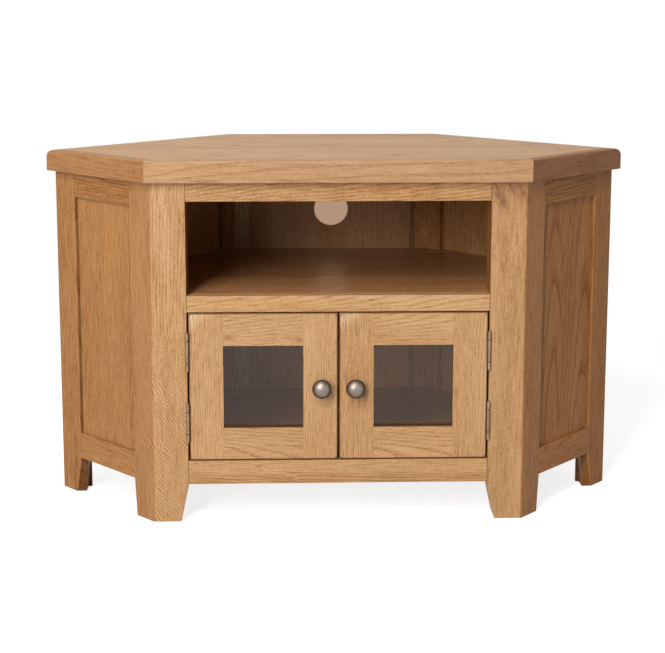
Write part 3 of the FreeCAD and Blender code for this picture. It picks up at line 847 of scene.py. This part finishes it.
def post_face(along):
    """One of the two faces that a back post turns to the bay: along the back, or along the wall
    side, where x + y is the same all over the face. The face along the back takes painted light,
    the one along the wall painted shade."""
    wall_line = POST_EDGE + POST_FRONT

    def share(paint, place):
        x, y, _ = paint.parts(place)
        out = x.math("ABSOLUTE")
        bay = y.fall(POST_FRONT + 0.5 * MM, POST_FRONT + 1.5 * MM)
        bay = bay * (out + y).fall(wall_line + 1.5 * MM, wall_line + 4.5 * MM)
        back = out.fall(POST_EDGE - 1.0 * MM, POST_EDGE + 1.0 * MM)
        return bay * (back if along == "back" else 1.0 - back)

    return share


def corner_shadow_line(paint, place):
    """A painted shadow line down the right back corner of the bay, between the panel and the
    post.
    """
    x, y, _ = paint.parts(place)
    line = x.rise(PANEL_EDGE - 6.5 * MM, PANEL_EDGE - 2.5 * MM)
    line = line * x.fall(PANEL_EDGE + 1.0 * MM, PANEL_EDGE + 9.0 * MM)
    return line * y.fall(PANEL_MIDDLE + 1.0 * MM, PANEL_MIDDLE + 2.0 * MM)


def shelf_front_light(paint, place):
    """The front strip of the shelf board, where painted light makes it paler than the rest."""
    _, y, _ = paint.parts(place)
    return y.fall(SHELF_FRONT - 5.0 * MM, SHELF_FRONT + 90.0 * MM)


def door_corners(side):
    """Lowest and highest corner of a door's frame."""
    boxes = [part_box(f"door_{side}_{part}_stile") for part in ("hinge", "knob")]
    low, high = np.array(boxes[0]), np.array(boxes[1])
    return np.minimum(low[0], high[0]).tolist(), np.maximum(low[1], high[1]).tolist()


def door_edge_shade(side):
    """The eased edge round a door and the edges of its frame, darkened with painted shade for the
    gaps round the door. The dark line runs round the door's outline with a small radius at the
    corners."""
    low, high = door_corners(side)
    ease = 8.0 * MM

    def share(paint, place):
        x, y, z = paint.parts(place)
        across = (ease - (x - low[0]).math("MINIMUM", high[0] - x)).math("MAXIMUM", 0.0)
        upright = (ease - (z - low[2]).math("MINIMUM", high[2] - z)).math("MAXIMUM", 0.0)
        edge = ease - (across * across + upright * upright).math("SQRT")
        deep = (y - low[1]).rise(1.5 * MM, 3.5 * MM)
        return edge.fall(0.8 * MM, 2.6 * MM).math("MAXIMUM", deep)

    return share


def door_sill(side):
    """The inner edge of the bottom rail, under the pane, darkened with painted shade."""
    _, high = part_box(f"door_{side}_bottom_rail")

    def share(paint, place):
        _, _, z = paint.parts(place)
        return (z - (high.z - 0.5 * MM)).rise(0.0, 0.4 * MM)

    return share


def door_glare(side):
    """The upper left corner of a door, with a painted glare: a pale wedge of painted highlight
    that fades away from the corner.
    """
    low, high = door_corners(side)
    width, height = 45.0 * MM, 36.0 * MM

    def share(paint, place):
        x, _, z = paint.parts(place)
        away = (x - low[0]) / width + (high[2] - z) / height
        return away.fall(0.2, 1.15)

    return share


def leg_return(side):
    """The narrow face of the rear leg that turns in to the side panel, and its foot's front. They
    take painted shade, as in a recess.
    """
    way = Vector(SIDE_WAY[side])
    outer = leg_side(side)

    def share(paint, place):
        x, y, _ = paint.parts(place)
        along = x * way.x + y * way.y
        before = along.fall(REAR_TAPER_END - 2.0 * MM, REAR_TAPER_END + 2.0 * MM)
        return (1.0 - outer(paint, place)) * before

    return share


def mineral_streak_and_shade(middle):
    """A purplish streak in the wood that slants across the board at the given point, and fades
    as exp(-r*r) from it. On the right leg it is partly painted shade under the top."""
    run, drop = 0.6, 0.8
    length, width = 22.0 * MM, 9.0 * MM

    def share(paint, place):
        x, _, z = paint.parts(place)
        dx, dz = x - middle[0], z - middle[1]
        along, across = dx * run - dz * drop, dx * drop + dz * run
        away = along * along / length**2 + across * across / width**2
        streaks = paint.noise(paint.vector(along * 60.0, across * 420.0, 0.0), 2.0, 0.5)
        return (away * -1.0).math("EXPONENT") * streaks.rise(0.38, 0.6, 0.25, 1.0)

    return share


def low_streaks(top):
    """Darker streaks along the grain below the given height."""

    def share(paint, place):
        x, _, z = paint.parts(place)
        streaks = paint.noise(paint.vector(x * 9.0, 0.0, z * 330.0), 2.0, 0.6)
        return (z - top).fall(-10.0 * MM, 4.0 * MM) * streaks.rise(0.35, 0.55, 0.15, 1.0)

    return share


def oak_plan():
    """For each oak piece: grain direction, direction across its face, and how it is sawn."""
    # Painted shade for the boards inside the bay and the cupboard
    inside = [(1.0, INSIDE_PAINTED_SHADE)]
    legs = {
        "left": dict(
            pith=(0.10, 0.03), curl=(0.05, -1.0, 0.8, 0.05), lines=0.46, gap=0.0056, tone=-0.04
        ),
        "right": dict(pith=(0.05, 0.05), curl=(0.23, 1.0, 0.5, 0.04), lines=0.2, gap=0.0038),
    }
    panels = {
        "left": dict(
            staves=0.082, pith=(0.16, 0.02), tilt=0.01, wander=0.5, gap=0.0055, lines=0.3
        ),
        "right": dict(staves=0.15, pith=(0.0, 0.05), tilt=0.05, gap=0.008, lines=0.26),
    }
    plan = {}
    for side, sign in (("left", -1.0), ("right", 1.0)):
        way, wall = SIDE_WAY[side], WALL_WAY[side]
        # The sides' rails and panels take painted shade
        side_shaded = dict(stains=[(1.0, SIDE_PAINTED_SHADE[side])], shine=0.15)
        leg = [(leg_side(side), SIDE_PAINTED_SHADE[side]), (leg_jamb(side), JAMB_PAINTED_SHADE)]
        if side == "right":
            leg += [(mineral_streak_and_shade(spot), MINERAL_STREAK_AND_SHADE) for spot in STREAK_AND_SHADE_SPOTS]
        plan[f"leg_front_{side}"] = (UP, ACROSS, dict(wander=1.0, stains=leg, **legs[side]))
        plan[f"leg_rear_{side}"] = (UP, way, dict(pith=(0.05, 0.05), shine=0.15, stains=[
            (1.0, SIDE_PAINTED_SHADE[side]), (leg_return(side), RETURN_PAINTED_SHADE[side])
        ]))
        post = {
            "left": [(post_face(along), POST_LIGHT_AND_SHADE[along]) for along in POST_LIGHT_AND_SHADE],
            "right": [(corner_shadow_line, CORNER_PAINTED_SHADOW)],
        }[side]
        plan[f"leg_back_{side}"] = (UP, ACROSS, dict(
            pith=(0.08, 0.05), tone=-0.08, stains=inside + post, shine=0.15
        ))
        for part in ("top", "bottom"):
            # The top side rails are painted darker, for the shade under the top
            plan[f"side_{part}_rail_{side}"] = (way, UP, dict(
                pith=(0.03, 0.05), tone=-0.12 if part == "top" else 0.0, **side_shaded
            ))
            plan[f"wall_{part}_rail_{side}"] = (wall, UP, dict(pith=(0.03, 0.05), **side_shaded))
        plan[f"side_panel_{side}"] = (UP, way, dict(**side_shaded, **panels[side]))
        plan[f"wall_panel_{side}"] = (UP, wall, dict(
            staves=0.1, gap=0.006, pith=(0.15, 0.02), tilt=0.01, stains=inside, soft=False
        ))
        for part in ("shelf", "floor"):
            plan[f"{part}_cleat_{side}"] = (way, UP, dict(stains=inside, soft=False))
        # Painted shade round the doors' edges and on the glazing beads behind the glass
        edge, beads = (door_edge_shade(side), EDGE_PAINTED_SHADE), [(1.0, BEAD_PAINTED_SHADE)]
        glare = (door_glare(side), GLARE_PAINTED_HIGHLIGHT)
        # The stile whose upper corner takes the painted glare
        pale = {"left": "hinge", "right": "knob"}[side]
        for part, pith in (("hinge", 0.05), ("knob", 0.07)):
            plan[f"door_{side}_{part}_stile"] = (UP, ACROSS, dict(
                pith=(sign * pith, 0.05), tone=0.04, tilt=0.02,
                stains=[edge, glare] if part == pale else [edge],
            ))
        plan[f"door_{side}_top_rail"] = (ACROSS, UP, dict(
            pith=(0.04, 0.05), tone=0.07, tilt=0.06, stains=[edge],
            knots=((-0.058, -0.013, 0.010), (0.060, -0.018, 0.011)) if side == "left" else (),
        ))
        plan[f"door_{side}_bottom_rail"] = (ACROSS, UP, dict(
            pith=(-0.03, 0.06), tone=0.06, stains=[edge, (door_sill(side), EDGE_PAINTED_SHADE)]
        ))
        plan[f"door_{side}_glazing_beads"] = (ACROSS, UP, dict(stains=beads, soft=False))
    plan["front_top_rail"] = (ACROSS, UP, dict(
        pith=(0.04, 0.05), tilt=0.06, tone=-0.05, lines=0.3, wander=0.9
    ))
    plan["shelf_rail"] = (ACROSS, UP, dict(pith=(0.03, 0.05), tone=0.05, tilt=0.06))
    plan["bottom_rail"] = (ACROSS, UP, dict(
        pith=(-0.05, 0.03), tone=0.05, lines=0.3, wander=0.9,
        stains=[(low_streaks(LOW_STREAKS_TOP), LOW_STREAK_STAIN)],
        knots=((-0.134, 0.010, 0.005), (-0.130, 0.003, 0.004), (-0.082, -0.012, 0.006)),
    ))
    plan["back_top_rail"] = (ACROSS, UP, dict(stains=inside))
    plan["back_bottom_rail"] = (ACROSS, UP, dict(stains=inside))
    plan["back_panel"] = (UP, ACROSS, dict(
        staves=0.09, gap=0.006, pith=(0.15, 0.02), tilt=0.01, soft=False,
        stains=[(1.0, BACK_PAINTED_SHADE), (corner_shadow_line, CORNER_PAINTED_SHADOW)]
    ))
    plan["shelf_board"] = (ACROSS, BACKWARDS, dict(
        staves=0.11, pith=(0.0, 0.1), gap=0.007, rough=-0.21, shine=0.65,
        stains=[(1.0, SHELF_PAINTED_SHADE), (shelf_front_light, SHELF_FRONT_PAINTED_LIGHT)]
    ))
    plan["floor_board"] = (ACROSS, BACKWARDS, dict(
        staves=0.1, stains=[(1.0, FLOOR_PAINTED_SHADE)], soft=False
    ))
    return plan


class CABINET_OT_oak(bpy.types.Operator):
    """Gives every oak board, rail, stile and leg its own piece of wood"""

    bl_idname = "cabinet.finish_oak"
    bl_label = "Oak finish"

    def execute(self, context):
        for seed, (node, (along, across, more)) in enumerate(sorted(oak_plan().items())):
            give(node, oak(f"oak_{node}", middle_of(node), along, across, 100 + seed, **more))
        return {"FINISHED"}


class CABINET_OT_fittings(bpy.types.Operator):
    """Finishes the hinges, screws, catches and panes"""

    bl_idname = "cabinet.finish_fittings"
    bl_label = "Fittings and glass"

    def execute(self, context):
        aged, plated = aged_metal("aged_metal"), zinc("zinc")
        plastic, glass = moulded_plastic("moulded_plastic"), pane_glass("pane_glass")
        for node in NODES:
            if "hinge_leaves" in node or "hinge_pins" in node:
                give(node, aged)
            elif "screw" in node or node.endswith("strike_plate"):
                give(node, plated)
            elif node == "door_catches":
                give(node, plastic)
            elif node.endswith("_glass"):
                give(node, glass)
        return {"FINISHED"}


# ---- Stage ----------------------------------------------------------------------------------


def seen_directly(paint):
    """1 for what the camera sees, and for what metal and glass show of it."""
    seen = paint.node("ShaderNodeLightPath", output="Is Camera Ray")
    for name in ("Is Glossy Ray", "Is Transmission Ray"):
        seen = seen.math("MAXIMUM", paint.node("ShaderNodeLightPath", output=name))
    return seen


def floor_material():
    """White paper that takes a pale shadow, plain white further out."""
    paint = Paint.named("floor_paper")
    x, y, _ = paint.parts(paint.place())
    out = (x * x + y * y).math("SQRT").rise(1.0, 1.7)
    camera = paint.node("ShaderNodeLightPath", output="Is Camera Ray")
    shown = paint.mix(camera, PAPER_GREY, PAPER_SEEN)
    paper = paint.node("ShaderNodeBsdfDiffuse", None, {"Color": shown})
    white = paint.node("ShaderNodeEmission", None, {"Color": WHITE, "Strength": 1.0})
    share = (out * 0.2 + 0.8) * seen_directly(paint)
    surface = paint.node("ShaderNodeMixShader", None, {0: share, 1: paper, 2: white})
    return paint.finish(surface)


def card_material():
    """Tan card that shows from the front only, and lets all the lamps' light through."""
    paint = Paint.named("tan_card")
    behind = paint.node("ShaderNodeNewGeometry", output="Backfacing")
    clear = paint.node("ShaderNodeBsdfTransparent")
    tan = paint.node("ShaderNodeEmission", None, {"Color": srgb("B2937B"), "Strength": 1.0})
    share = (1.0 - behind) * seen_directly(paint)
    surface = paint.node("ShaderNodeMixShader", None, {0: share, 1: clear, 2: tan})
    return paint.finish(surface)


def card_behind_hole():
    """A tan backdrop just behind the cable hole: a flat disc, x = radius cos a, z = radius sin a
    round the hole's centre, facing the front."""
    angle = np.linspace(0.0, 2.0 * math.pi, 48, endpoint=False)
    disc = np.stack([CARD_RADIUS * np.cos(angle),
                     np.full(angle.size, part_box("back_panel")[1][1] + CARD_GAP),
                     CARD_RADIUS * np.sin(angle) + HOLE_HEIGHT], axis=1)
    mesh = bpy.data.meshes.new("card_behind_hole")
    mesh.from_pydata(disc.tolist(), [], [list(range(angle.size))])
    card = bpy.data.objects.new("card_behind_hole", mesh)
    card.data.materials.append(card_material())
    bpy.context.scene.collection.objects.link(card)


def area_light(name, place, target, size, power):
    lamp = bpy.data.lights.new(name, "AREA")
    lamp.shape = "RECTANGLE"
    lamp.size, lamp.size_y = size
    lamp.energy = power
    made = bpy.data.objects.new(name, lamp)
    made.location = place
    made.rotation_euler = (Vector(target) - Vector(place)).to_track_quat("-Z", "Y").to_euler()
    made.visible_camera = False
    bpy.context.scene.collection.objects.link(made)


def camera_matrix():
    """The camera's place and turn. It looks back, turned right by the yaw, raised by the pitch
    and then rolled round its line of sight."""
    sin, cos = math.sin, math.cos
    yaw, pitch, roll = CAMERA_YAW, CAMERA_PITCH, CAMERA_ROLL
    ahead = Vector((sin(yaw) * cos(pitch), cos(yaw) * cos(pitch), sin(pitch)))
    right = Vector((cos(yaw), -sin(yaw), 0.0))
    above = right.cross(ahead)
    across = right * cos(roll) + above * sin(roll)
    upright = above * cos(roll) - right * sin(roll)
    basis = Matrix((across, upright, -ahead)).transposed().to_4x4()
    return Matrix.Translation(CAMERA_PLACE) @ basis


class CABINET_OT_stage(bpy.types.Operator):
    """Sets the white floor, the soft studio light and the camera"""

    bl_idname = "cabinet.make_stage"
    bl_label = "Stage"

    def execute(self, context):
        scene, look = context.scene, context.scene.cabinet_stage
        turns = ((-1, -1), (1, -1), (1, 1), (-1, 1))
        corners = [(x * FLOOR_REACH, y * FLOOR_REACH, -FLOOR_DROP) for x, y in turns]
        mesh = bpy.data.meshes.new("floor")
        mesh.from_pydata(corners, [], [[0, 1, 2, 3]])
        floor = bpy.data.objects.new("floor", mesh)
        floor.data.materials.append(floor_material())
        scene.collection.objects.link(floor)
        card_behind_hole()

        world = bpy.data.worlds.new("studio")
        scene.world = world
        paint = Paint(world)
        shown = paint.mix(seen_directly(paint), WORLD_GREY, WHITE)
        light = paint.node("ShaderNodeBackground", None, {"Color": shown, "Strength": 1.0})
        paint.node("ShaderNodeOutputWorld", None, {"Surface": light})

        for name, (place, target, size, power) in LAMPS.items():
            area_light(name, place, target, size, power * look.lamp_strength)

        camera = bpy.data.cameras.new("camera")
        camera.lens = look.focal_length
        camera.sensor_width = CAMERA_SENSOR
        camera.shift_y = CAMERA_SHIFT
        camera.clip_start, camera.clip_end = CAMERA_CLIP
        holder = bpy.data.objects.new("camera", camera)
        holder.matrix_world = camera_matrix()
        scene.collection.objects.link(holder)
        scene.camera = holder
        scene.view_settings.view_transform = "Standard"
        return {"FINISHED"}


# ---- Panel, registration and the run ---------------------------------------------------------


class CABINET_PT_panel(bpy.types.Panel):
    """Buttons that make and finish the cabinet's pieces, and their settings"""

    bl_idname = "CABINET_PT_panel"
    bl_label = "Corner cabinet"
    bl_space_type = "VIEW_3D"
    bl_region_type = "UI"
    bl_category = "Cabinet"

    def draw(self, context):
        for operator in OPERATORS:
            self.layout.operator(operator.bl_idname)
        for name, group in SETTINGS.items():
            box = self.layout.box()
            box.label(text=name.replace("_", " "))
            for prop in group.__annotations__:
                box.prop(getattr(context.scene, name), prop)


OPERATORS = (
    CABINET_OT_stage,
    CABINET_OT_oak,
    CABINET_OT_fittings,
    CABINET_OT_top,
    CABINET_OT_knobs,
)


def register():
    for cls in (*SETTINGS.values(), *OPERATORS, CABINET_PT_panel):
        bpy.utils.register_class(cls)
    for name, group in SETTINGS.items():
        setattr(bpy.types.Scene, name, bpy.props.PointerProperty(type=group))


def unregister():
    for name in SETTINGS:
        delattr(bpy.types.Scene, name)
    for cls in reversed((*SETTINGS.values(), *OPERATORS, CABINET_PT_panel)):
        bpy.utils.unregister_class(cls)


def main():
    register()
    for operator in OPERATORS:
        group, name = operator.bl_idname.split(".")
        getattr(getattr(bpy.ops, group), name)()


if __name__ == "__main__":
    main()
